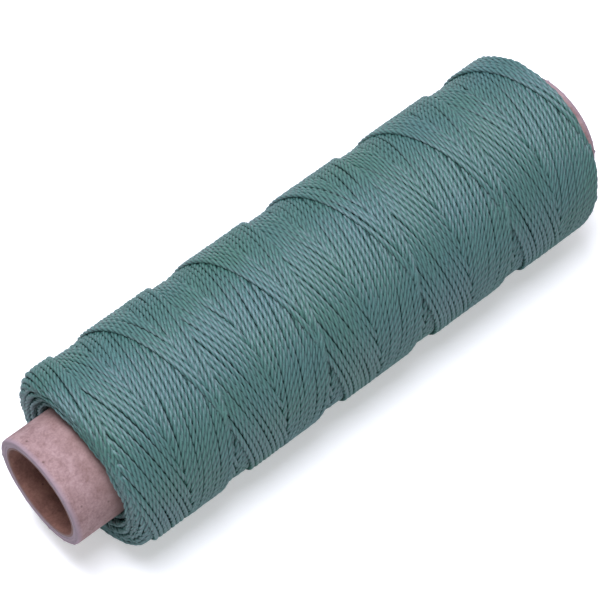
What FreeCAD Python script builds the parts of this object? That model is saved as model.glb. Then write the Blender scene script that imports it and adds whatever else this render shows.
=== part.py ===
import FreeCAD, Part
import math
import os

import Sketcher

# A bobbin of cross-wound netting twine on a spiral-wound paperboard core.
# The bobbin lies on its side: the core's axis is X, +Z is up, and the origin is on that axis, halfway
# along the core. The near mouth is at -X.
# Angles round the core are in degrees about +X, counted from +Y towards +Z.

doc = FreeCAD.newDocument("twine_bobbin")

# The driving dimensions, in millimetres and degrees. Every cell has an alias.
SIZES = [
    ("core_length", 200.0, "paperboard core, end to end"),
    ("bore_radius", 14.5, "clear bore of the core"),
    ("inner_ply_thickness", 0.7, "ply that lines the bore"),
    ("body_ply_thickness", 0.7, "each buried ply"),
    ("body_ply_count", 3, "buried plies between the lining and the wrap"),
    ("outer_ply_thickness", 0.7, "ply that wraps the core"),
    ("bore_edge_wear", 0.35, "worn edge at each mouth of the bore"),
    ("rim_edge_wear", 0.5, "worn outer edge at each end of the core"),
    ("seam_pitch", 90.0, "advance of the wrap's butt seam in one turn"),
    ("seam_width", 0.5, "open width of the butt seam"),
    ("seam_depth", 0.3, "depth of the butt seam"),
    ("seam_angle", 250.0, "angle at which the seam leaves the near end"),
    ("near_overhang", 14.3, "bare core at the near end"),
    ("far_overhang", 8.5, "bare core at the far end"),
    ("near_bulge", 1.7, "how far the near face of the winding swells past its foot"),
    ("far_bulge", 1.0, "the same at the far face"),
    ("near_shoulder_radius", 8.5, "rounded shoulder at the near end"),
    ("far_shoulder_radius", 7.0, "rounded shoulder at the far end"),
    ("buried_layer_count", 4, "full covers of twine under the outermost one"),
    ("layer_build", 2.4, "what one full cover adds to the radius"),
    ("outer_cover", 1.25, "outermost cover at its thinnest"),
    ("step_height", 1.1, "height of the step along the newest strand of a stroke"),
    ("wind_pitch", 35.75, "advance of the twine in one turn"),
    ("crossing_place", -15.5, "X of the crossing of two newest strands nearest mid-length"),
    ("crossing_angle", 150.0, "angle of that crossing"),
    ("facet_angle", 7.5, "angle round the core that one flat of the outermost cover spans"),
]

sheet = doc.addObject("Spreadsheet::Sheet", "Sizes")
for row, (alias, value, note) in enumerate(SIZES, start=1):
    sheet.set(f"A{row}", alias)
    sheet.set(f"B{row}", str(value))
    sheet.set(f"C{row}", note)
    sheet.setAlias(f"B{row}", alias)
doc.recompute()


def size(alias):
    """The sheet's present value, for the counts and for shapes that are worked out here."""
    return float(sheet.get(alias))


def core_radius():
    """Outside of the core, from the sheet's present values."""
    plies = size("inner_ply_thickness") + size("outer_ply_thickness")
    plies += size("body_ply_count") * size("body_ply_thickness")
    return size("bore_radius") + plies


# Sums of the cells above, as the expressions that the features are bound to.
CORE_RADIUS = (
    "Sizes.bore_radius + Sizes.inner_ply_thickness + Sizes.body_ply_count * Sizes.body_ply_thickness"
    " + Sizes.outer_ply_thickness"
)
BODY_PLY_START = "Sizes.bore_radius + Sizes.inner_ply_thickness"
LAYERS_TOP = f"{CORE_RADIUS} + Sizes.buried_layer_count * Sizes.layer_build"
PACKAGE_RADIUS = f"{LAYERS_TOP} + Sizes.outer_cover + 2 * Sizes.step_height"


def origin_plane(body, role):
    """One of the body's own origin planes or axes, by its role."""
    for feature in body.Origin.OriginFeatures:
        if feature.Role == role:
            return feature
    raise ValueError(role)


def attached_sketch(body, name, role):
    """A sketch on one of the body's own origin planes."""
    sketch = body.newObject("Sketcher::SketchObject", name)
    sketch.AttachmentSupport = [(origin_plane(body, role), "")]
    sketch.MapMode = "FlatFace"
    return sketch


def named_datum(sketch, kind, name, expression, *places):
    """A sketch dimension bound to the sheet."""
    sketch.addConstraint(Sketcher.Constraint(kind, *places))
    index = sketch.ConstraintCount - 1
    sketch.renameConstraint(index, name)
    sketch.setExpression(f"Constraints.{name}", expression)


def edges_on(shape, radius, tolerance=0.01):
    """Names of the end circles of a radius, for a bevel."""
    names = []
    for number, edge in enumerate(shape.Edges, start=1):
        curve = edge.Curve
        if isinstance(curve, Part.Circle) and abs(curve.Radius - radius) < tolerance:
            names.append(f"Edge{number}")
    return names


def ply(label, inner, outer, worn_radius=None, worn_edge=None):
    """One paperboard ply: a ring padded both ways from mid-length, its exposed edge worn back."""
    body = doc.addObject("PartDesign::Body", label)
    body.Label = label
    sketch = attached_sketch(body, f"{label}_section", "YZ_Plane")
    centre = FreeCAD.Vector(0, 0, 0)
    axis = FreeCAD.Vector(0, 0, 1)
    for name, expression, radius in (
        ("inner", inner, size("bore_radius")),
        ("outer", outer, core_radius()),
    ):
        circle = sketch.addGeometry(Part.Circle(centre, axis, radius), False)
        sketch.addConstraint(Sketcher.Constraint("Coincident", circle, 3, -1, 1))
        named_datum(sketch, "Radius", name, expression, circle, radius)
    pad = body.newObject("PartDesign::Pad", f"{label}_pad")
    pad.Profile = sketch
    pad.setExpression("Length", "Sizes.core_length")
    pad.Midplane = True
    doc.recompute()
    if worn_edge:
        bevel = body.newObject("PartDesign::Chamfer", f"{label}_worn_edge")
        bevel.Base = (pad, edges_on(pad.Shape, worn_radius))
        bevel.setExpression("Size", worn_edge)
    doc.recompute()
    return body


def cut_seam(body, label):
    """The butt seam of a spiral-wound ply: a shallow groove that climbs the wrap from end to end."""
    sketch = attached_sketch(body, f"{label}_seam_section", "XY_Plane")
    along_core = FreeCAD.Rotation(FreeCAD.Vector(1, 0, 0), size("seam_angle"))
    sketch.AttachmentOffset = FreeCAD.Placement(FreeCAD.Vector(0, 0, 0), along_core)
    sketch.setExpression("AttachmentOffset.Rotation.Angle", "Sizes.seam_angle")
    half_length = size("core_length") / 2
    half_width = size("seam_width") / 2
    radius = core_radius()
    depth = size("seam_depth")
    corners = [
        FreeCAD.Vector(-half_length - half_width, radius + depth, 0),
        FreeCAD.Vector(-half_length + half_width, radius + depth, 0),
        FreeCAD.Vector(-half_length + half_width, radius - depth, 0),
        FreeCAD.Vector(-half_length - half_width, radius - depth, 0),
    ]
    for start, end in zip(corners, corners[1:] + corners[:1]):
        sketch.addGeometry(Part.LineSegment(start, end), False)
    for side in range(4):
        sketch.addConstraint(Sketcher.Constraint("Coincident", side, 2, (side + 1) % 4, 1))
        sketch.addConstraint(Sketcher.Constraint("Vertical" if side % 2 else "Horizontal", side))
    named_datum(sketch, "DistanceX", "width", "Sizes.seam_width", 0, 1, 0, 2, 2 * half_width)
    named_datum(sketch, "DistanceY", "floor", f"{CORE_RADIUS} - Sizes.seam_depth", -1, 1, 2, 2,
                radius - depth)
    named_datum(sketch, "DistanceY", "depth", "2 * Sizes.seam_depth", 2, 2, 1, 1, 2 * depth)
    named_datum(sketch, "DistanceX", "start", "Sizes.core_length / 2 + Sizes.seam_width", 0, 1, -1, 1,
                half_length + 2 * half_width)
    helix = body.newObject("PartDesign::SubtractiveHelix", f"{label}_seam")
    helix.Profile = sketch
    helix.ReferenceAxis = (origin_plane(body, "X_Axis"), [""])
    helix.Mode = 0
    helix.setExpression("Pitch", "Sizes.seam_pitch")
    helix.setExpression("Height", "Sizes.core_length + 2 * Sizes.seam_width")
    doc.recompute()
    return helix


# The core: a lining, the buried plies and a wrap, glued face to face.
inner_ply = ply("core_inner_ply", "Sizes.bore_radius", BODY_PLY_START,
                size("bore_radius"), "Sizes.bore_edge_wear")
nodes = [inner_ply]
for number in range(1, int(size("body_ply_count")) + 1):
    start = f"{BODY_PLY_START} + {number - 1} * Sizes.body_ply_thickness"
    nodes.append(ply(f"core_body_ply_{number}", start, f"{start} + Sizes.body_ply_thickness"))
outer_ply = ply("core_outer_ply", f"{CORE_RADIUS} - Sizes.outer_ply_thickness", CORE_RADIUS,
                core_radius(), "Sizes.rim_edge_wear")
cut_seam(outer_ply, "core_outer_ply")
nodes.append(outer_ply)


def package_form():
    """The winding's outer form, revolved.

    Each end face leans out from its foot on the core to its widest ring and back to where the
    outermost cover starts, and turns into a round shoulder there.
    """
    body = doc.addObject("PartDesign::Body", "package_form")
    sketch = attached_sketch(body, "package_profile", "XZ_Plane")
    foot = core_radius()
    cover_start = foot + size("buried_layer_count") * size("layer_build")
    top = cover_start + size("outer_cover") + 2 * size("step_height")
    sides = ((-1, "near"), (1, "far"))
    feet = []
    tops = []
    for side, name in sides:
        foot_x = side * (size("core_length") / 2 - size(f"{name}_overhang"))
        top_x = foot_x + side * (size(f"{name}_bulge") - size(f"{name}_shoulder_radius"))
        feet.append(FreeCAD.Vector(foot_x, foot, 0))
        tops.append(FreeCAD.Vector(top_x, top, 0))
    base_line = sketch.addGeometry(Part.LineSegment(*feet), False)
    top_line = sketch.addGeometry(Part.LineSegment(*tops), False)
    named_datum(sketch, "DistanceY", "foot", CORE_RADIUS, -1, 1, base_line, 1, foot)
    named_datum(sketch, "DistanceY", "top", PACKAGE_RADIUS, -1, 1, top_line, 1, top)
    for line in (base_line, top_line):
        sketch.addConstraint(Sketcher.Constraint("Horizontal", line))
    for corner, (side, name) in enumerate(sides, start=1):
        round_radius = size(f"{name}_shoulder_radius")
        foot_x = feet[corner - 1].x
        face_x = foot_x + side * size(f"{name}_bulge")
        middle = FreeCAD.Vector(face_x - side * round_radius, top - round_radius, 0)
        fall = math.acos((cover_start - middle.y) / round_radius)
        widest = FreeCAD.Vector(face_x, middle.y, 0)
        turn_x = middle.x + side * round_radius * math.sin(fall)
        turn_foot = FreeCAD.Vector(turn_x, cover_start, 0)
        lean_out = sketch.addGeometry(Part.LineSegment(feet[corner - 1], widest), False)
        lean_back = sketch.addGeometry(Part.LineSegment(widest, turn_foot), False)
        upright = math.pi / 2
        span = (upright, upright + fall) if side < 0 else (upright - fall, upright)
        # An arc's ends are numbered anticlockwise, so its top is its first end on the near side.
        at_top, at_foot = (1, 2) if side < 0 else (2, 1)
        circle = Part.Circle(middle, FreeCAD.Vector(0, 0, 1), round_radius)
        turn = sketch.addGeometry(Part.ArcOfCircle(circle, *span), False)
        sketch.addConstraint(Sketcher.Constraint("Coincident", base_line, corner, lean_out, 1))
        sketch.addConstraint(Sketcher.Constraint("Coincident", lean_out, 2, lean_back, 1))
        sketch.addConstraint(Sketcher.Constraint("Coincident", lean_back, 2, turn, at_foot))
        sketch.addConstraint(Sketcher.Constraint("Tangent", top_line, corner, turn, at_top))
        sketch.addConstraint(Sketcher.Constraint("Horizontal", turn, 3, lean_out, 2))
        named_datum(sketch, "Radius", f"{name}_shoulder", f"Sizes.{name}_shoulder_radius",
                    turn, round_radius)
        named_datum(sketch, "DistanceY", f"{name}_cover_start", LAYERS_TOP, -1, 1, lean_back, 2,
                    cover_start)
        for place, expression, value, first_end, last_end in (
            ("foot_place", f"Sizes.core_length / 2 - Sizes.{name}_overhang", abs(foot_x),
             (-1, 1), (base_line, corner)),
            ("bulge", f"Sizes.{name}_bulge", abs(face_x - foot_x), (lean_out, 1), (lean_out, 2)),
            ("reach", f"Sizes.{name}_shoulder_radius", round_radius, (turn, 3), (lean_out, 2)),
        ):
            ends = first_end + last_end if side > 0 else last_end + first_end
            named_datum(sketch, "DistanceX", f"{name}_{place}", expression, *ends, value)
    turned = body.newObject("PartDesign::Revolution", "package_turned")
    turned.Profile = sketch
    turned.ReferenceAxis = (sketch, ["H_Axis"])
    turned.Angle = 360.0
    doc.recompute()
    return body


form = package_form()


def on_axis(solid):
    """Turns a Z-going primitive to lie along X, centred on mid-length."""
    solid.Placement.Rotation = FreeCAD.Rotation(FreeCAD.Vector(0, 1, 0), 90)
    solid.setExpression("Placement.Base.x", "-Sizes.core_length / 2")
    return solid


def buried_layer(number):
    """One full cover of twine: the part of the winding's form between two radii."""
    label = f"twine_layer_{number}"
    inner = f"{CORE_RADIUS} + {number - 1} * Sizes.layer_build"
    cylinders = []
    for name, radius in (("within", inner), ("without", f"{inner} + Sizes.layer_build")):
        cylinder = doc.addObject("Part::Cylinder", f"{label}_{name}")
        cylinder.setExpression("Radius", radius)
        cylinder.setExpression("Height", "Sizes.core_length")
        cylinders.append(on_axis(cylinder))
    ring = doc.addObject("Part::Cut", f"{label}_ring")
    ring.Base = cylinders[1]
    ring.Tool = cylinders[0]
    layer = doc.addObject("Part::Common", label)
    layer.Label = label
    layer.Base = ring
    layer.Tool = form
    return layer


layer_count = int(size("buried_layer_count"))
for number in range(1, layer_count + 1):
    nodes.append(buried_layer(number))


# The outermost cover. Each stroke lays the twine beside the stroke before it, so two sets of strands
# stand one on another like roof tiles: the newest forward strand and the newest return strand are two
# opposite-handed helices, and the winding steps down beside each. Where they cross, the cover is at
# its thickest and starts again from its thinnest. Between crossings it climbs evenly with the angle,
# which leaves a lattice of cells: each is one turn round and one pitch long, and cells alternate on
# opposite sides of the bobbin.
HALF_TURN = math.degrees(math.pi)


def round_point(x, angle, radius):
    """A point at a place along the core, an angle round it and a distance from its axis."""
    turn = math.radians(angle)
    return FreeCAD.Vector(x, radius * math.cos(turn), radius * math.sin(turn))


def climb(start, end):
    """Points from one (x, angle, radius) to another half a turn on, all three changing evenly."""
    flats = round(HALF_TURN / size("facet_angle"))
    points = []
    for flat in range(flats + 1):
        share = flat / flats
        points.append(round_point(*(a + (b - a) * share for a, b in zip(start, end))))
    return points


def flat_face(*corners):
    """A flat face between points, without the repeats that a cell's pointed end has."""
    outline = []
    for corner in corners:
        if not any(corner.isEqual(earlier, 1e-6) for earlier in outline):
            outline.append(corner)
    return Part.Face(Part.makePolygon(outline + outline[:1]))


def roof_faces(rise, edge):
    """Flats from a cell's middle to its edge: both ends of each run along the core."""
    steps = zip(rise, rise[1:], edge[1:], edge)
    return [flat_face(*corners) for corners in steps]


def step_faces(upper, lower):
    """The step down beside the newest strand, in pairs of triangles, because it twists."""
    faces = []
    for upper_start, upper_end, lower_end, lower_start in zip(upper, upper[1:], lower[1:], lower):
        faces.append(flat_face(upper_start, upper_end, lower_end))
        faces.append(flat_face(upper_start, lower_end, lower_start))
    return faces


def slab(cell_x, cell_angle, next_x, low, step):
    """Outer faces between the middle of one cell, at cell_x, and the middle of the next.

    The first cell starts its climb at cell_angle, and the next one half a turn later. Returned with
    the faces are the points round each of the two middles.
    """
    mid = low + step
    high = low + 2 * step
    faces = []
    middles = []
    edges = []
    cells = ((cell_x, next_x, cell_angle), (next_x, cell_x, cell_angle + HALF_TURN))
    for here, across, start in cells:
        halfway = start + HALF_TURN
        finish = halfway + HALF_TURN
        rises = [climb((here, start, low), (here, halfway, mid)),
                 climb((here, halfway, mid), (here, finish, high))]
        sides = [climb((here, start, low), (across, halfway, mid)),
                 climb((across, halfway, mid), (here, finish, high))]
        for rise, side in zip(rises, sides):
            faces.extend(roof_faces(rise, side))
        middles.append(rises[0] + rises[1][1:])
        edges.append(sides)
    (near_low, near_high), (far_low, far_high) = edges
    faces.extend(step_faces(far_high, near_low))
    faces.extend(step_faces(near_high, far_low))
    return faces, middles


def end_face(middle, bore):
    """The flat end of a cover: a cell's middle, closed by its step, round a bore."""
    outline = Part.Face(Part.makePolygon(middle + middle[:1]))
    centre = FreeCAD.Vector(middle[0].x, 0, 0)
    hole = Part.Face(Part.Wire(Part.makeCircle(bore, centre, FreeCAD.Vector(1, 0, 0))))
    return outline.cut(hole).Faces[0]


def stepped_cover():
    """The lattice of cells from end to end of the core, on the last buried layer, as one solid."""
    reach = size("wind_pitch") / 2
    bore = core_radius() + size("buried_layer_count") * size("layer_build")
    low = bore + size("outer_cover")
    crossing_x = size("crossing_place")
    half_length = size("core_length") / 2
    first = -math.ceil((crossing_x + half_length) / reach)
    last = math.ceil((half_length - crossing_x) / reach)
    faces = []
    for index in range(first, last):
        cell_x = crossing_x + index * reach
        cell_angle = size("crossing_angle") + HALF_TURN * (index % 2)
        roof, middles = slab(cell_x, cell_angle, cell_x + reach, low, size("step_height"))
        faces.extend(roof)
        if index == first:
            faces.append(end_face(middles[0], bore))
        if index == last - 1:
            faces.append(end_face(middles[1], bore))
    start = FreeCAD.Vector(crossing_x + first * reach, 0, 0)
    along = FreeCAD.Vector(1, 0, 0)
    inside = Part.makeCylinder(bore, (last - first) * reach, start, along)
    faces.extend(face for face in inside.Faces if isinstance(face.Surface, Part.Cylinder))
    shell = Part.makeShell(faces)
    shell.sewShape()
    solid = Part.makeSolid(shell)
    if solid.Volume < 0:
        solid.reverse()
    return solid


lattice = doc.addObject("Part::Feature", "stepped_lattice")
lattice.Shape = stepped_cover()

outer_label = f"twine_layer_{layer_count + 1}"
outer_layer = doc.addObject("Part::Common", outer_label)
outer_layer.Label = outer_label
outer_layer.Base = lattice
outer_layer.Tool = form
nodes.append(outer_layer)

doc.recompute()

for item in doc.Objects:
    if "Invalid" in item.State or "Error" in item.State:
        raise RuntimeError(f"{item.Label} did not build: {item.State}")
for node in nodes:
    if node.Shape.isNull() or not node.Shape.isValid():
        raise RuntimeError(f"{node.Label} has no valid shape")
    if len(node.Shape.Solids) != 1:
        raise RuntimeError(f"{node.Label} is {len(node.Shape.Solids)} solids")

os.makedirs("parts", exist_ok=True)
for node in nodes:
    node.Shape.exportStep(f"parts/{node.Label}.step")
    box = node.Shape.optimalBoundingBox(True, False)
    print(f"{node.Label:18s} {node.Shape.Volume / 1000:8.2f} cm3  x {box.XMin:8.2f} {box.XMax:8.2f}"
          f"  z {box.ZMin:7.2f} {box.ZMax:7.2f}  faces {len(node.Shape.Faces)}")
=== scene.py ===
import math

import bmesh
import bpy
import numpy as np
from mathutils import Matrix, Vector


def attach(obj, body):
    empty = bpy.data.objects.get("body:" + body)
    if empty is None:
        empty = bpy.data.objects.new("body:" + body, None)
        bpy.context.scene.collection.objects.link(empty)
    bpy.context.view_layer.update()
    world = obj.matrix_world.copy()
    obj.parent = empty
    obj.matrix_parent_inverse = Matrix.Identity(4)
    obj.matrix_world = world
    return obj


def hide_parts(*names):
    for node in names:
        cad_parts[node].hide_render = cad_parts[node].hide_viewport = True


# A bobbin of cross-wound netting twine on a spiral-wound paperboard core, lying on its side. Lengths in
# this script are written in millimetres and turned into metres as each mesh is made. Angles round the
# core are in turns about +X, counted from +Y towards +Z.

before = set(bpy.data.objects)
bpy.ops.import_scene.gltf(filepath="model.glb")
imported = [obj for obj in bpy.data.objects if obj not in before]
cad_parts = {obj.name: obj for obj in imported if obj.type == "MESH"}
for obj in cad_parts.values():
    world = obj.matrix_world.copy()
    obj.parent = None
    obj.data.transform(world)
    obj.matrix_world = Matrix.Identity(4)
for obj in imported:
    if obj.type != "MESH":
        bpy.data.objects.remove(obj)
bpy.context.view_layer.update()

MM = 0.001

# The core: five plies of board, the outermost a strip wound as a screw, whose seam leaves the near end
# at SEAM_TURN.
CORE_HALF_LENGTH = 100.0
BORE_RADIUS = 14.5
PLY = 0.7
CORE_RADIUS = 18.0
SEAM_PITCH = 90.0
SEAM_WIDTH = 0.5
SEAM_DEPTH = 0.3
SEAM_TURN = 250.0 / 360.0
# How many faces each ply has round the core.
FACES_ROUND = 144

# The winding. Forward strokes run towards +X and return strokes towards -X, both as the angle grows, and
# the newest two cross at CROSSING_X and CROSSING_TURN. A cover is STROKES strokes each way. A stroke's
# age runs from 0, the newest, to 1, the one about to be covered, and the winding is a STEP higher beside
# the newest stroke of each family than beside the oldest.
PITCH = 35.75
CROSSING_X = -15.5
CROSSING_TURN = 150.0 / 360.0
STROKES = 23
COVERS = 5
STEP = 1.1
LOW = 28.85
TOP = LOW + 2 * STEP

# Each family of strokes: which way it runs; the share of a gap that its newest stroke lies behind the
# step; and the intervals in which a stroke is on top, from the end it leaves to the one it arrives at.
FAMILIES = {
    "forward": {"direction": 1, "shift": 0.75, "intervals": range(3, -7, -1)},
    "return": {"direction": -1, "shift": 0.25, "intervals": range(5, -5, -1)},
}
# The strokes of each family are in four pieces, from the newest to the oldest.
GROUPS = ((0, 5), (5, 10), (10, 16), (16, STROKES))

# The twine: how thick it is, and the length in which its strands go round once.
TWINE = 1.5
LAY = 8.0
# How far apart the rings of points along a cord are.
RING_GAP = 0.7

# Each end of the winding: which way it faces; the corner that its strokes would turn at, and how wide
# they turn there; the centre and radius of the form's round shoulder; where its face meets the core; how
# far out its buried turns reach; and in how many turns from the crossing the newest stroke gets there.
ENDS = {
    "near": {"side": -1, "corner": -87.39, "turn": 0.050, "centre": -78.9, "round": 8.5,
             "foot": -85.7, "turns_top": 26.4, "arrival": 2},
    "far": {"side": 1, "corner": 92.85, "turn": 0.046, "centre": 87.9, "round": 5.0,
            "foot": 91.5, "turns_top": 27.2, "arrival": 3},
}


# Making pieces.


def deselect():
    bpy.ops.object.select_all(action="DESELECT")


def drawn_line(name, start, moves):
    """A run of edges drawn point by point in the plane through the core's axis, left in edit mode."""
    deselect()
    bpy.ops.mesh.primitive_plane_add(size=MM, location=(0, 0, 0))
    piece = bpy.context.object
    piece.name = name
    piece.data.name = name
    bpy.ops.object.mode_set(mode="EDIT")
    bpy.ops.mesh.select_mode(type="VERT")
    bpy.ops.mesh.select_all(action="SELECT")
    bpy.ops.mesh.merge(type="CENTER")
    bpy.ops.transform.translate(value=(start[0] * MM, 0, start[1] * MM))
    for along, out in moves:
        shift = (along * MM, 0, out * MM)
        bpy.ops.mesh.extrude_vertices_move(TRANSFORM_OT_translate={"value": shift})
    bpy.ops.mesh.select_all(action="SELECT")
    bpy.ops.mesh.remove_doubles(threshold=0.01 * MM)
    return piece


def pick(piece, kind, wanted):
    """In edit mode, selects the vertices or edges for which wanted(element) holds."""
    bpy.ops.mesh.select_mode(type=kind)
    bpy.ops.mesh.select_all(action="DESELECT")
    shape = bmesh.from_edit_mesh(piece.data)
    for element in shape.verts if kind == "VERT" else shape.edges:
        if wanted(element):
            element.select_set(True)
    shape.select_flush_mode()
    bmesh.update_edit_mesh(piece.data)


def runs_along(edge):
    """Whether an edge is one of a ply's two long ones."""
    return edge.calc_length() > 30 * MM


def apply_modifier(piece, kind, **settings):
    bpy.context.view_layer.objects.active = piece
    modifier = piece.modifiers.new(kind.lower(), kind)
    for name, value in settings.items():
        setattr(modifier, name, value)
    bpy.ops.object.modifier_apply(modifier=modifier.name)


def roughen(piece, name, grain, depth):
    """Moves the surface in and out a little, as damp and handling do to paperboard."""
    waves = bpy.data.textures.new(name, "CLOUDS")
    waves.noise_scale = grain * MM
    waves.noise_depth = 2
    apply_modifier(piece, "DISPLACE", texture=waves, texture_coords="LOCAL", strength=depth * MM,
                   mid_level=0.5)


def finish_piece(piece, material, replaced):
    """Gives a piece its finish, and puts it on the bobbin in the place of the CAD's nodes."""
    piece.data.materials.clear()
    piece.data.materials.append(material)
    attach(piece, "root")
    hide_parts(*replaced)


# Materials.


def colour(code):
    """An sRGB hex value as linear colour."""
    channels = [int(code[place:place + 2], 16) / 255 for place in (1, 3, 5)]
    linear = [c / 12.92 if c <= 0.04045 else ((c + 0.055) / 1.055) ** 2.4 for c in channels]
    return (*linear, 1.0)


def add_node(tree, kind, inputs=None, **settings):
    """One node, its settings, and for each input a value or the output that feeds it."""
    made = tree.nodes.new(kind)
    for name, value in settings.items():
        setattr(made, name, value)
    for socket, value in (inputs or {}).items():
        if isinstance(value, bpy.types.NodeSocket):
            tree.links.new(value, made.inputs[socket])
        else:
            made.inputs[socket].default_value = value
    return made


def set_ramp(ramp, stops):
    """Gives a colour ramp its stops, as (place, colour)."""
    band = ramp.color_ramp
    while len(band.elements) > 1:
        band.elements.remove(band.elements[-1])
    band.elements[0].position, band.elements[0].color = stops[0]
    for place, tone in stops[1:]:
        band.elements.new(place).color = tone
    return ramp.outputs["Color"]


def new_material(name):
    material = bpy.data.materials.new(name)
    material.use_nodes = True
    material.node_tree.nodes.clear()
    return material, material.node_tree


def twine_material():
    """Three-strand nylon multifilament twine, spun, laid right-handed and dyed.

    The bundles of fine filaments give each strand a soft shine along its length. The valleys between
    strands are darkened with painted shade, and the dye drifts a little from green to blue along the
    cord.
    """
    material, tree = new_material("nylon_multifilament_twine")
    place = add_node(tree, "ShaderNodeTexCoord")
    # UV: U is the length along the cord in metres, V goes once round it and follows the strands.
    parts = add_node(tree, "ShaderNodeSeparateXYZ", {0: place.outputs["UV"]})
    lobes = add_node(tree, "ShaderNodeMath", {0: parts.outputs["Y"], 1: 6 * math.pi},
                     operation="MULTIPLY")
    crown = add_node(tree, "ShaderNodeMath", {0: lobes.outputs[0]}, operation="COSINE")
    height = add_node(tree, "ShaderNodeMapRange", {0: crown.outputs[0], 1: -1.0, 2: 1.0})
    # Filaments: really 0.03 mm, drawn 0.2 mm wide and 6 mm long, the finest that the picture can show.
    stretch = add_node(tree, "ShaderNodeMapping", {"Vector": place.outputs["UV"],
                                                   "Scale": (160.0, 26.0, 1.0)})
    fibres = add_node(tree, "ShaderNodeTexNoise", {"Vector": stretch.outputs[0], "Scale": 1.0,
                                                   "Detail": 3.0, "Roughness": 0.6})
    # Dye: drifts over about 25 mm of the winding.
    drift = add_node(tree, "ShaderNodeTexNoise", {"Vector": place.outputs["Object"], "Scale": 40.0,
                                                  "Detail": 2.0})
    dyed = add_node(tree, "ShaderNodeMix", {0: drift.outputs["Fac"], 6: colour("#45745F"),
                                            7: colour("#4C7275")}, data_type="RGBA")
    filament = add_node(tree, "ShaderNodeMapRange", {0: fibres.outputs["Fac"], 1: 0.3, 2: 0.7,
                                                     3: 0.80, 4: 1.18})
    toned = add_node(tree, "ShaderNodeVectorMath", {0: dyed.outputs[2], "Scale": filament.outputs[0]},
                     operation="SCALE")
    # Painted shade: the valleys between strands are darkened towards a dark green.
    painted_valley_shade = add_node(tree, "ShaderNodeMapRange", {0: height.outputs[0], 1: 0.0, 2: 0.42,
                                                   3: 0.75, 4: 0.0})
    shaded = add_node(tree, "ShaderNodeMix", {0: painted_valley_shade.outputs[0], 6: toned.outputs[0],
                                              7: colour("#213D3B")}, data_type="RGBA")
    bump = add_node(tree, "ShaderNodeBump", {"Height": fibres.outputs["Fac"], "Strength": 0.35,
                                             "Distance": 0.08 * MM})
    # Filaments lie along the strands and so spread their shine across them.
    lie = add_node(tree, "ShaderNodeTangent", direction_type="UV_MAP", uv_map="cord")
    surface = add_node(tree, "ShaderNodeBsdfPrincipled", {
        "Base Color": shaded.outputs[2], "Roughness": 0.58, "IOR": 1.55, "Specular IOR Level": 1.0,
        "Specular Tint": colour("#F0ECFF"), "Anisotropic": 0.88, "Anisotropic Rotation": 0.25,
        "Tangent": lie.outputs[0], "Normal": bump.outputs[0]})
    add_node(tree, "ShaderNodeOutputMaterial", {"Surface": surface.outputs[0]})
    return material


def painted_shade_twine_material():
    """The same twine in the covers below, seen only as dark gaps between cords."""
    material, tree = new_material("twine_in_shadow")
    place = add_node(tree, "ShaderNodeTexCoord")
    grain = add_node(tree, "ShaderNodeTexNoise", {"Vector": place.outputs["Object"], "Scale": 900.0})
    # Painted shade: these tones are far darker than the twine on top, standing in for the shade in the
    # gaps.
    tone = set_ramp(add_node(tree, "ShaderNodeValToRGB", {0: grain.outputs["Fac"]}),
                    [(0.3, colour("#1E3536")), (0.7, colour("#2E4A48"))])
    surface = add_node(tree, "ShaderNodeBsdfPrincipled", {"Base Color": tone, "Roughness": 0.8,
                                                          "Specular IOR Level": 0.2})
    add_node(tree, "ShaderNodeOutputMaterial", {"Surface": surface.outputs[0]})
    return material


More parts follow.
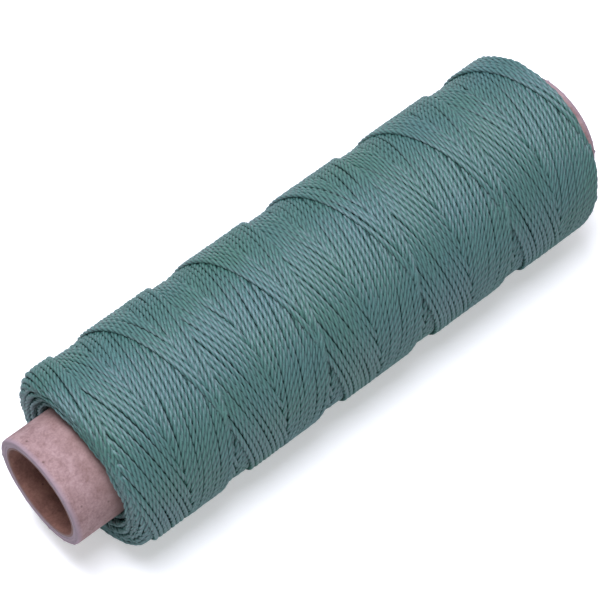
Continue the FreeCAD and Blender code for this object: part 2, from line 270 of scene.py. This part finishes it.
def board_material(name, light, dark, speck, middle_shade, cut, cut_start):
    """Spiral-wound paperboard: pulp of recycled paper, calendered, glued and cut with a knife.

    Its face is matt and mottled in patches of a few millimetres, with dark specks and a felt of fibres.
    Towards the middle of the core, where the winding meets the collar, it is mixed halfway towards a
    darker brown: painted shade of the winding. The knife leaves the cut ends greyer, from cut_start
    outwards.
    """
    material, tree = new_material(name)
    place = add_node(tree, "ShaderNodeTexCoord")
    position = place.outputs["Object"]
    # Mottling in patches of about 4 mm, with a finer grain of pulp, about 0.7 mm, over it.
    clouds = add_node(tree, "ShaderNodeTexNoise", {"Vector": position, "Scale": 230.0, "Detail": 3.0,
                                                   "Roughness": 0.6})
    grain = add_node(tree, "ShaderNodeTexNoise", {"Vector": position, "Scale": 1300.0, "Detail": 2.0,
                                                  "Roughness": 0.7})
    mottle = add_node(tree, "ShaderNodeMix", {0: 0.42, 2: clouds.outputs["Fac"],
                                              3: grain.outputs["Fac"]})
    face = set_ramp(add_node(tree, "ShaderNodeValToRGB", {0: mottle.outputs[0]}),
                    [(0.36, colour(dark)), (0.64, colour(light))])
    # Specks of bark up to about 0.7 mm across, some 10 mm apart.
    cells = add_node(tree, "ShaderNodeTexVoronoi", {"Vector": position, "Scale": 210.0,
                                                    "Randomness": 1.0})
    spots = add_node(tree, "ShaderNodeMapRange", {0: cells.outputs["Distance"], 1: 0.05, 2: 0.10,
                                                  3: 0.7, 4: 0.0})
    speckled = add_node(tree, "ShaderNodeMix", {0: spots.outputs[0], 6: face, 7: colour(speck)},
                        data_type="RGBA")
    # Changes of colour by the distance from the core's middle: painted shade of the winding, mixed in
    # halfway towards the middle, and the greyer cut at the ends.
    parts = add_node(tree, "ShaderNodeSeparateXYZ", {0: position})
    out = add_node(tree, "ShaderNodeMath", {0: parts.outputs["X"]}, operation="ABSOLUTE")
    middle_shade_share = add_node(tree, "ShaderNodeMapRange", {0: out.outputs[0], 1: 85.0 * MM, 2: 93.0 * MM,
                                                 3: 0.5, 4: 0.0})
    middle_shaded = add_node(tree, "ShaderNodeMix", {0: middle_shade_share.outputs[0], 6: speckled.outputs[2],
                                             7: colour(middle_shade)}, data_type="RGBA")
    at_cut = add_node(tree, "ShaderNodeMapRange", {0: out.outputs[0], 1: cut_start * MM,
                                                   2: (CORE_HALF_LENGTH - 0.1) * MM})
    ended = add_node(tree, "ShaderNodeMix", {0: at_cut.outputs[0], 6: middle_shaded.outputs[2],
                                             7: colour(cut)}, data_type="RGBA")
    # The felt of fibres, really 0.02 mm thick, drawn about 0.4 mm wide so that it shows.
    felt = add_node(tree, "ShaderNodeTexNoise", {"Vector": position, "Scale": 2600.0, "Detail": 2.0})
    bump = add_node(tree, "ShaderNodeBump", {"Height": felt.outputs["Fac"], "Strength": 0.3,
                                             "Distance": 0.15 * MM})
    surface = add_node(tree, "ShaderNodeBsdfPrincipled", {
        "Base Color": ended.outputs[2], "Roughness": 0.82, "IOR": 1.5, "Specular IOR Level": 0.35,
        "Normal": bump.outputs[0]})
    add_node(tree, "ShaderNodeOutputMaterial", {"Surface": surface.outputs[0]})
    return material


# The core.


def board_ring(name, inner, outer, near_end, far_end, worn):
    """One ply of the core: a closed section turned round the axis, its corners worn to a radius."""
    length = far_end - near_end
    ring = drawn_line(name, (near_end, inner), [(length, 0), (0, outer - inner), (-length, 0),
                                                (0, inner - outer)])
    bpy.ops.mesh.select_all(action="SELECT")
    bpy.ops.mesh.bevel(offset=worn * MM, segments=3, affect="VERTICES")
    pick(ring, "EDGE", runs_along)
    bpy.ops.mesh.subdivide(number_cuts=60)
    bpy.ops.object.mode_set(mode="OBJECT")
    apply_modifier(ring, "SCREW", axis="X", steps=FACES_ROUND, render_steps=FACES_ROUND,
                   use_merge_vertices=True, merge_threshold=0.001 * MM)
    roughen(ring, f"{name}_waves", 5.0, 0.16)
    bpy.ops.object.mode_set(mode="EDIT")
    bpy.ops.mesh.select_all(action="SELECT")
    bpy.ops.mesh.normals_make_consistent(inside=False)
    bpy.ops.object.mode_set(mode="OBJECT")
    bpy.ops.object.shade_smooth_by_angle(angle=math.radians(60))
    return ring


def wrapped_sheet():
    """The outermost ply: one strip of board wound as a screw and butted edge to edge.

    The strip's edges are rebated, so an open seam shows over the tight butt.
    """
    butt = 0.01
    rebate = SEAM_WIDTH / 2 - butt
    foot = SEAM_PITCH - 2 * butt
    face = SEAM_PITCH - SEAM_WIDTH
    lower = PLY - SEAM_DEPTH
    # The section is drawn a quarter turn up, one strip before the near end.
    start = -CORE_HALF_LENGTH + SEAM_PITCH * (0.25 - SEAM_TURN) - SEAM_PITCH + butt
    sheet = drawn_line("core_wrap", (start, CORE_RADIUS - PLY), [
        (foot, 0), (0, lower), (-rebate, 0), (0, SEAM_DEPTH), (-face, 0), (0, -SEAM_DEPTH),
        (-rebate, 0), (0, -lower)])
    pick(sheet, "EDGE", runs_along)
    bpy.ops.mesh.subdivide(number_cuts=30)
    bpy.ops.object.mode_set(mode="OBJECT")
    apply_modifier(sheet, "SCREW", axis="X", steps=FACES_ROUND, render_steps=FACES_ROUND,
                   iterations=5, screw_offset=SEAM_PITCH * MM, use_merge_vertices=False)
    bpy.ops.object.mode_set(mode="EDIT")
    for side in (-1, 1):
        # The knife's cut, and three rings behind it for the worn rim.
        for back, cut in ((0.05, True), (0.25, False), (0.6, False), (1.1, False)):
            bpy.ops.mesh.select_all(action="SELECT")
            bpy.ops.mesh.bisect(plane_co=(side * (CORE_HALF_LENGTH - back) * MM, 0, 0),
                                plane_no=(side, 0, 0), clear_outer=cut, use_fill=cut)
    bpy.ops.mesh.select_all(action="SELECT")
    bpy.ops.mesh.delete_loose(use_verts=True, use_edges=True, use_faces=False)
    bpy.ops.mesh.normals_make_consistent(inside=False)
    # Wear draws the outside in, the more the nearer the cut.
    outside = (CORE_RADIUS - SEAM_DEPTH - 0.1) * MM
    for back, scale in ((0.05, 0.976), (0.25, 0.990), (0.6, 0.997)):
        rim = (CORE_HALF_LENGTH - back) * MM
        pick(sheet, "VERT", lambda vertex, rim=rim: abs(abs(vertex.co.x) - rim) < 0.01 * MM
             and math.hypot(vertex.co.y, vertex.co.z) > outside)
        bpy.ops.transform.resize(value=(1, scale, scale), center_override=(0, 0, 0))
    bpy.ops.object.mode_set(mode="OBJECT")
    roughen(sheet, "core_wrap_waves", 6.0, 0.12)
    bpy.ops.object.shade_smooth_by_angle(angle=math.radians(50))
    return sheet


# The twine.


def surface_radius(age, other_age):
    """The winding's outside where one family's top strand has one age and the other's another."""
    return LOW + STEP * (2 - age - other_age)


def soft_lesser(first, second):
    """The lesser of two, with a rounded change from one to the other."""
    blend = 0.35
    gap = np.clip(0.5 + 0.5 * (second - first) / blend, 0, 1)
    return second + (first - second) * gap - blend * gap * (1 - gap)


def form_radius(x, inset):
    """The radius that the end shoulders allow at a place along the core, inset below the surface."""
    # Between the shoulders nothing is held down.
    allowed = np.full_like(x, TOP + 5.0)
    for end in ENDS.values():
        past = end["side"] * (x - end["centre"])
        round_radius = end["round"] - inset
        rise = np.sqrt(np.clip(round_radius ** 2 - np.clip(past, 0, None) ** 2, 0, None))
        fallen = TOP - end["round"] + rise
        allowed = np.where(past > 0, np.minimum(allowed, fallen), allowed)
    return allowed


class Tubes:
    """Cords as rings of points, gathered into one closed mesh.

    Nearly forty metres of cord, laid in the winder's pattern with its strands turning as it goes, are
    past what primitives and edit-mode operators can draw, so the points are worked out here.
    """

    # Three round strands side by side, as seen in a cut through the cord, which the winding's tension
    # presses a little flat. STRAND is a strand's radius, and OFFSET its centre's distance from the
    # cord's.
    STRAND = 0.405
    OFFSET = TWINE / 2 - STRAND
    POINTS = 12
    SPREAD = 1.20
    PRESSED = 0.97

    def __init__(self):
        self.vertices = []
        self.faces = []
        self.uvs = []
        self.placed = 0

    def section(self):
        """The cord's outline in a cut through it: where each point is round it, and how far out."""
        turn = np.arange(self.POINTS) / self.POINTS
        from_crown = (turn * 3 + 0.5) % 1 - 0.5
        lean = 2 * math.pi * from_crown / 3
        reach = self.OFFSET * np.cos(lean)
        reach = reach + np.sqrt(self.STRAND ** 2 - (self.OFFSET * np.sin(lean)) ** 2)
        return turn, reach

    def add(self, centres, outward, start_length, twist):
        """A cord along centres; outward points away from the core at each.

        start_length keeps the filaments' pattern from starting alike in every cord, and twist is the
        share of a turn that its strands start at.
        """
        ahead = np.gradient(centres, axis=0)
        stretch = np.linalg.norm(ahead, axis=1)
        along = ahead / stretch[:, None]
        side = np.cross(along, outward)
        side /= np.linalg.norm(side, axis=1)[:, None]
        up = np.cross(side, along)
        gaps = np.linalg.norm(np.diff(centres, axis=0), axis=1)
        length = start_length + np.concatenate([[0], np.cumsum(gaps)])
        turn, reach = self.section()
        # A right-hand lay: the strands go round from up towards side as the cord goes on.
        angle = 2 * math.pi * (turn[None, :] + length[:, None] / LAY + twist)
        # The ends narrow almost to a point and are capped, so that the mesh is closed.
        taper = np.ones(len(centres))
        taper[0] = taper[-1] = 0.05
        rise = self.PRESSED * reach * taper[:, None] * np.cos(angle)
        swing = self.SPREAD * reach * taper[:, None] * np.sin(angle)
        ring = centres[:, None, :] + rise[..., None] * up[:, None, :]
        ring = ring + swing[..., None] * side[:, None, :]
        rings = len(centres)
        points = self.POINTS
        first = self.placed
        self.vertices.append(ring.reshape(-1, 3))
        self.placed += rings * points
        row, column = np.meshgrid(np.arange(rings - 1), np.arange(points), indexing="ij")
        after = (column + 1) % points
        quads = np.stack([row * points + column, row * points + after, (row + 1) * points + after,
                          (row + 1) * points + column], axis=-1).reshape(-1, 4)
        self.faces.append(quads + first)
        low = column / points
        high = (column + 1) / points
        here = length[row] * MM
        there = length[row + 1] * MM
        uv = np.stack([here, low, here, high, there, high, there, low], axis=-1)
        self.uvs.append(uv.reshape(-1, 2))
        caps = [first + np.arange(points)[::-1], first + (rings - 1) * points + np.arange(points)]
        for cap in caps:
            fan = np.stack([np.full(points // 2 - 1, cap[0]), cap[1:-2:2], cap[2:-1:2], cap[3::2]],
                           axis=-1)
            self.faces.append(fan)
            self.uvs.append(np.tile([[length[0] * MM, 0.0]], (fan.size, 1)))

    def make(self, name):
        """The piece, with U along the cord and V round it in its UV map."""
        vertices = np.concatenate(self.vertices) * MM
        faces = np.concatenate(self.faces)
        mesh = bpy.data.meshes.new(name)
        mesh.vertices.add(len(vertices))
        mesh.vertices.foreach_set("co", vertices.astype(np.float32).ravel())
        mesh.loops.add(faces.size)
        mesh.loops.foreach_set("vertex_index", faces.astype(np.int32).ravel())
        mesh.polygons.add(len(faces))
        mesh.polygons.foreach_set("loop_start", np.arange(0, faces.size, 4, dtype=np.int32))
        mesh.update(calc_edges=True)
        layer = mesh.uv_layers.new(name="cord")
        layer.data.foreach_set("uv", np.concatenate(self.uvs).astype(np.float32).ravel())
        mesh.polygons.foreach_set("use_smooth", np.ones(len(faces), dtype=bool))
        mesh.validate()
        piece = bpy.data.objects.new(name, mesh)
        bpy.context.scene.collection.objects.link(piece)
        return piece


def to_space(x, turn, radius):
    """Points in millimetres, and the directions away from the axis, from places along and round it."""
    angle = 2 * math.pi * turn
    outward = np.stack([np.zeros_like(x), np.cos(angle), np.sin(angle)], axis=-1)
    centres = outward * radius[:, None]
    centres[:, 0] = x
    return centres, outward


def smooth_along(values, reach):
    """A running mean over reach values on each side, which keeps the ends."""
    padded = np.concatenate([np.full(reach, values[0]), values, np.full(reach, values[-1])])
    return np.convolve(padded, np.ones(2 * reach + 1) / (2 * reach + 1), mode="valid")


def wander(turn, random, amount):
    """How far one cord strays from its place, in three slow waves along its length."""
    stray = np.zeros_like(turn)
    for waves in (1.7, 3.1, 5.9):
        stray += np.sin(2 * math.pi * (waves * turn + random.random())) / math.sqrt(waves)
    return stray * amount / 1.5


def stroke_x(direction, turns, age):
    """The place along the core of a stroke of the cord, rounded where it turns back at each end."""
    run = CROSSING_X + direction * PITCH * (turns + age)
    middle = CROSSING_X + PITCH / 2
    for end in ENDS.values():
        short = PITCH * np.sqrt(((run - end["corner"]) / PITCH) ** 2 + end["turn"] ** 2)
        run = np.where(end["side"] * (run - middle) > 0, end["corner"] - end["side"] * short, run)
    return run


def uneven_end(x, turns):
    """The far end's turns reach out a little on two sides of the bobbin and fall back between them."""
    most = 0.7
    furthest_out = math.radians(98.0)
    starts_at, whole_at = 80.0, 90.0
    angle = 2 * math.pi * (turns + CROSSING_TURN)
    nearness = np.clip((x - starts_at) / (whole_at - starts_at), 0, 1) ** 2
    return most * nearness * np.cos(2 * (angle - furthest_out))


def stroke_piece(tubes, family, number, interval, random):
    """One visible stretch of one stroke.

    A stroke lies on top where it is newer than the strokes that cross it there. Each such stretch, or
    interval, starts where it comes out from under the other family's newest stroke, and ends where it
    dives under the first that is newer than itself. It is drawn a little past both.
    """
    # In turns: how far it is drawn before and past them, and past the last, which goes on round the
    # shoulder of the end that it arrives at.
    before, past, past_last = 0.030, 0.045, 0.13
    # In millimetres: how far it strays along the core and away from it.
    stray_along, stray_out = 0.24, 0.07
    usual_radius = 30
    age = (number + family["shift"]) / STROKES
    emerge = -(interval + 1 + age) / 2
    dive = -interval / 2 - age
    start = emerge - before
    finish = dive + (past_last if interval == family["intervals"][-1] else past)
    steps = max(8, int((finish - start) * 2 * math.pi * usual_radius / RING_GAP))
    turns = np.linspace(start, finish, steps)
    x = stroke_x(family["direction"], turns, age)
    other_age = (-2 * turns - age) % 1
    # Past the turn at the winding's end the cord goes on under newer ones.
    under = np.clip((age - other_age) * STROKES + 0.5, 0, 1)
    under = np.where(turns > dive + 0.5 / STROKES, 1.0, under)
    other_age = np.where(turns < emerge, (other_age + 0.5) % 1 - 0.5, other_age)
    under = under * under * (3 - 2 * under)
    top = surface_radius(age, other_age)
    radius = soft_lesser(top - TWINE / 2, form_radius(x, TWINE / 2)) - STEP * under
    radius = smooth_along(radius, 2)
    x = x + uneven_end(x, turns) + wander(turns + number * 7.3, random, stray_along)
    radius = radius + wander(turns * 2 + number * 3.1, random, stray_out)
    centres, outward = to_space(x, turns + CROSSING_TURN, radius)
    tubes.add(centres, outward, 40.0 * number + interval * 97.0, random.random())


def wound_cover(name, family, numbers, random):
    """The visible stretches of some of one family's strokes."""
    tubes = Tubes()
    for number in numbers:
        for interval in family["intervals"]:
            stroke_piece(tubes, family, number, interval, random)
    return tubes.make(name)


def face_x(end, radius):
    """The end face's place along the core at a radius: from its foot on the core out to its widest
    place, and on round the shoulder to where the cover's own turns start."""
    side = end["side"]
    widest = end["centre"] + side * end["round"]
    middle = TOP - end["round"]
    cover_start = 27.6
    turn_x = end["centre"] + side * math.sqrt(end["round"] ** 2 - (cover_start - middle) ** 2)
    return np.interp(radius, [CORE_RADIUS, middle, cover_start], [end["foot"], widest, turn_x])


def hollow(radius):
    """How far the end face has fallen in at a radius, most of all beside the core."""
    most, fading = 2.3, 2.6
    return most * np.exp((CORE_RADIUS - radius) / fading)


def end_turns(name, end, random):
    """Where the buried strokes turn back: the cords that make up one end face of the winding."""
    tubes = Tubes()
    side = end["side"]
    buried = STROKES * (COVERS - 1)
    innermost = CORE_RADIUS + TWINE / 2
    # In turns round the core: how far the cord is drawn on each side of where it turns back.
    reach = 0.15
    # In millimetres: how deep the slipped turns lie, how unevenly all of them do, and how far they
    # stray.
    slipped, uneven, stray_out, stray_along = 0.9, 0.35, 0.10, 0.12
    for number in range(buried):
        age = (number + STROKES + 0.5) / STROKES
        turn_at = end["arrival"] - age
        share = 1 - number / (buried - 1)
        radius = innermost + (end["turns_top"] - innermost) * share
        steps = int(2 * reach * 2 * math.pi * radius / RING_GAP)
        turns = np.linspace(-reach, reach, steps)
        inboard = PITCH * (np.sqrt(turns ** 2 + end["turn"] ** 2) - end["turn"])
        # About one turn in four has slipped in.
        fallen_in = hollow(radius) + (slipped if random.random() > 0.72 else 0.0)
        x_tip = face_x(end, radius) - side * (TWINE / 2 + fallen_in + uneven * random.random())
        x = x_tip - side * inboard
        # It arrives over its neighbours and leaves under them.
        height = radius - 0.275 * np.tanh(turns / 0.03)
        height = height + wander(turns * 3 + number, random, stray_out)
        x = x + wander(turns * 2 + number * 1.7, random, stray_along)
        centres, outward = to_space(x, turns + turn_at + CROSSING_TURN, height)
        tubes.add(centres, outward, number * 31.0, random.random())
    return tubes.make(name)


def under_cover():
    """The covers under the outermost one, as one body that follows its steps just under its cords.

    It is what shows in the gaps between cords. Its rows of points go out behind the turns of the near
    end face, along the core under the cover, and in behind the far end's turns. The last row joins the
    first inside the core's wrap.
    """
    depth = TWINE + 0.05
    behind_turns = 3.2
    cover_from, cover_to, cover_rows = -84.4, 89.0, 160
    around = 240
    turn = np.arange(around) / around
    near, far = ENDS["near"], ENDS["far"]
    rows = []
    radii = np.linspace(CORE_RADIUS - 0.5, 25.5, 12)
    for radius in radii:
        x = face_x(near, radius) + behind_turns + hollow(radius)
        rows.append((np.full(around, x), np.full(around, radius)))
    for x in np.linspace(cover_from, cover_to, cover_rows):
        place = np.full(around, x)
        forward = ((place - CROSSING_X) / PITCH - (turn - CROSSING_TURN)) % 1
        back = (-(place - CROSSING_X) / PITCH - (turn - CROSSING_TURN)) % 1
        top = surface_radius(forward, back) - depth
        rows.append((place, soft_lesser(top, form_radius(place, depth))))
    for radius in radii[::-1]:
        x = face_x(far, radius) - behind_turns - hollow(radius)
        rows.append((np.full(around, x), np.full(around, radius)))
    vertices = np.concatenate([to_space(x, turn, radius)[0] for x, radius in rows]) * MM
    faces = []
    for row in range(len(rows)):
        next_row = (row + 1) % len(rows)
        for column in range(around):
            after = (column + 1) % around
            faces.append((row * around + column, row * around + after, next_row * around + after,
                          next_row * around + column))
    mesh = bpy.data.meshes.new("twine_under_cover")
    mesh.from_pydata(vertices.tolist(), [], faces)
    mesh.update()
    piece = bpy.data.objects.new("twine_under_cover", mesh)
    bpy.context.scene.collection.objects.link(piece)
    deselect()
    piece.select_set(True)
    bpy.context.view_layer.objects.active = piece
    bpy.ops.object.mode_set(mode="EDIT")
    bpy.ops.mesh.select_all(action="SELECT")
    bpy.ops.mesh.normals_make_consistent(inside=False)
    bpy.ops.object.mode_set(mode="OBJECT")
    bpy.ops.object.shade_smooth()
    return piece


# The bobbin.

wrap_board = board_material("paperboard_wrap", light="#AA8D8C", dark="#846765", speck="#5E4643",
                            middle_shade="#84665C", cut="#98848C", cut_start=98.4)
ply_board = board_material("paperboard_ply", light="#A5929A", dark="#877880", speck="#6E5F66",
                           middle_shade="#877880", cut="#96858C", cut_start=98.0)
lining_board = board_material("paperboard_lining", light="#936A5C", dark="#704C43", speck="#432D28",
                              middle_shade="#815B4F", cut="#7E6560", cut_start=99.4)

# The plies were cut in one stroke, but each has crept a little.
lining = board_ring("core_lining", BORE_RADIUS, BORE_RADIUS + PLY, -99.95, 99.9, 0.33)
finish_piece(lining, lining_board, ["core_inner_ply"])
PLY_ENDS = ((-99.85, 99.95), (-100.0, 99.9), (-99.9, 100.0))
for number, (near_cut, far_cut) in enumerate(PLY_ENDS, start=1):
    inner = BORE_RADIUS + number * PLY
    ply = board_ring(f"core_ply_{number}", inner, inner + PLY, near_cut, far_cut, 0.12)
    finish_piece(ply, ply_board, [f"core_body_ply_{number}"])
finish_piece(wrapped_sheet(), wrap_board, ["core_outer_ply"])

twine = twine_material()
random = np.random.default_rng(23)
for label, family in FAMILIES.items():
    for group, (first, after) in enumerate(GROUPS, start=1):
        piece = wound_cover(f"twine_{label}_{group}", family, range(first, after), random)
        finish_piece(piece, twine, ["twine_layer_5"])
for label, end in ENDS.items():
    finish_piece(end_turns(f"twine_{label}_turns", end, random), twine,
                 ["twine_layer_1", "twine_layer_2", "twine_layer_3", "twine_layer_4"])
finish_piece(under_cover(), painted_shade_twine_material(), ["twine_layer_4"])


# Floor, light and camera.


def sweep_material(tone, lift):
    """Matt white paper.

    The camera sees it lifted to white where no shadow falls, and farther off, where the lamps don't
    reach, as plain white. Nothing on the bobbin is metal or glass that would mirror it.
    """
    material, tree = new_material("white_paper_sweep")
    ray = add_node(tree, "ShaderNodeLightPath")
    paper = add_node(tree, "ShaderNodeBsdfDiffuse", {"Color": colour(tone)})
    glow = add_node(tree, "ShaderNodeEmission", {"Color": (1, 1, 1, 1), "Strength": lift})
    lifted = add_node(tree, "ShaderNodeAddShader", {0: paper.outputs[0], 1: glow.outputs[0]})
    white = add_node(tree, "ShaderNodeEmission", {"Color": (1, 1, 1, 1), "Strength": 1.0})
    place = add_node(tree, "ShaderNodeTexCoord")
    distance = add_node(tree, "ShaderNodeVectorMath", {0: place.outputs["Object"]}, operation="LENGTH")
    far_off = add_node(tree, "ShaderNodeMapRange", {0: distance.outputs["Value"], 1: 0.22, 2: 0.50},
                       interpolation_type="SMOOTHSTEP")
    seen = add_node(tree, "ShaderNodeMixShader", {0: far_off.outputs[0], 1: lifted.outputs[0],
                                                  2: white.outputs[0]})
    shown = add_node(tree, "ShaderNodeMixShader", {0: ray.outputs["Is Camera Ray"], 1: paper.outputs[0],
                                                   2: seen.outputs[0]})
    add_node(tree, "ShaderNodeOutputMaterial", {"Surface": shown.outputs[0]})
    return material


# The bobbin lies on its winding, this far below the core's axis.
REST_HEIGHT = 30.9
deselect()
bpy.ops.mesh.primitive_plane_add(size=8.0, location=(0, 0, -REST_HEIGHT * MM))
floor = bpy.context.object
floor.name = "floor"
floor.data.transform(floor.matrix_world)
floor.matrix_world = Matrix.Identity(4)
floor.data.materials.append(sweep_material("#F0F0F0", 0.4))

# Soft light from all round, and plain white for the camera.
world = bpy.data.worlds.new("studio")
bpy.context.scene.world = world
world.use_nodes = True
sky = world.node_tree
sky.nodes.clear()
ray = add_node(sky, "ShaderNodeLightPath")
soft = add_node(sky, "ShaderNodeBackground", {"Color": colour("#F3F5FC"), "Strength": 0.30})
white = add_node(sky, "ShaderNodeBackground", {"Color": (1, 1, 1, 1), "Strength": 1.0})
shown = add_node(sky, "ShaderNodeMixShader", {0: ray.outputs["Is Camera Ray"], 1: soft.outputs[0],
                                              2: white.outputs[0]})
add_node(sky, "ShaderNodeOutputWorld", {"Surface": shown.outputs[0]})


def soft_box(name, place, size, power, tone):
    """An area lamp that faces the bobbin's middle."""
    lamp = bpy.data.lights.new(name, "AREA")
    lamp.shape = "RECTANGLE"
    lamp.size, lamp.size_y = size
    lamp.energy = power
    lamp.color = colour(tone)[:3]
    holder = bpy.data.objects.new(name, lamp)
    bpy.context.scene.collection.objects.link(holder)
    holder.location = place
    holder.rotation_euler = (-Vector(place)).to_track_quat("-Z", "Y").to_euler()


soft_box("overhead_softbox", (-0.12, 0.03, 0.95), (0.68, 0.4), 13.8, "#EEF0FD")
soft_box("window_side", (0.5, 0.9, 0.7), (0.9, 0.6), 2.8, "#E6EEFF")
soft_box("front_fill", (-0.45, -1.0, 0.2), (1.2, 0.6), 1.6, "#EEF0FD")

# The camera stands where the photograph was taken from, by a fit to the outline of core and winding.
eye = bpy.data.cameras.new("photo_camera")
eye.lens = 165.4
eye.sensor_width = 36.0
camera = bpy.data.objects.new("photo_camera", eye)
bpy.context.scene.collection.objects.link(camera)
right = (0.7599, -0.6500, 0.0)
up = (0.5434, 0.6353, 0.5488)
back = (-0.3567, -0.4170, 0.8360)
place = (-0.2919, -0.3375, 0.6800)
camera.matrix_world = Matrix([*zip(right, up, back, place), (0, 0, 0, 1)])
bpy.context.scene.camera = camera

bpy.context.scene.view_settings.view_transform = "Standard"
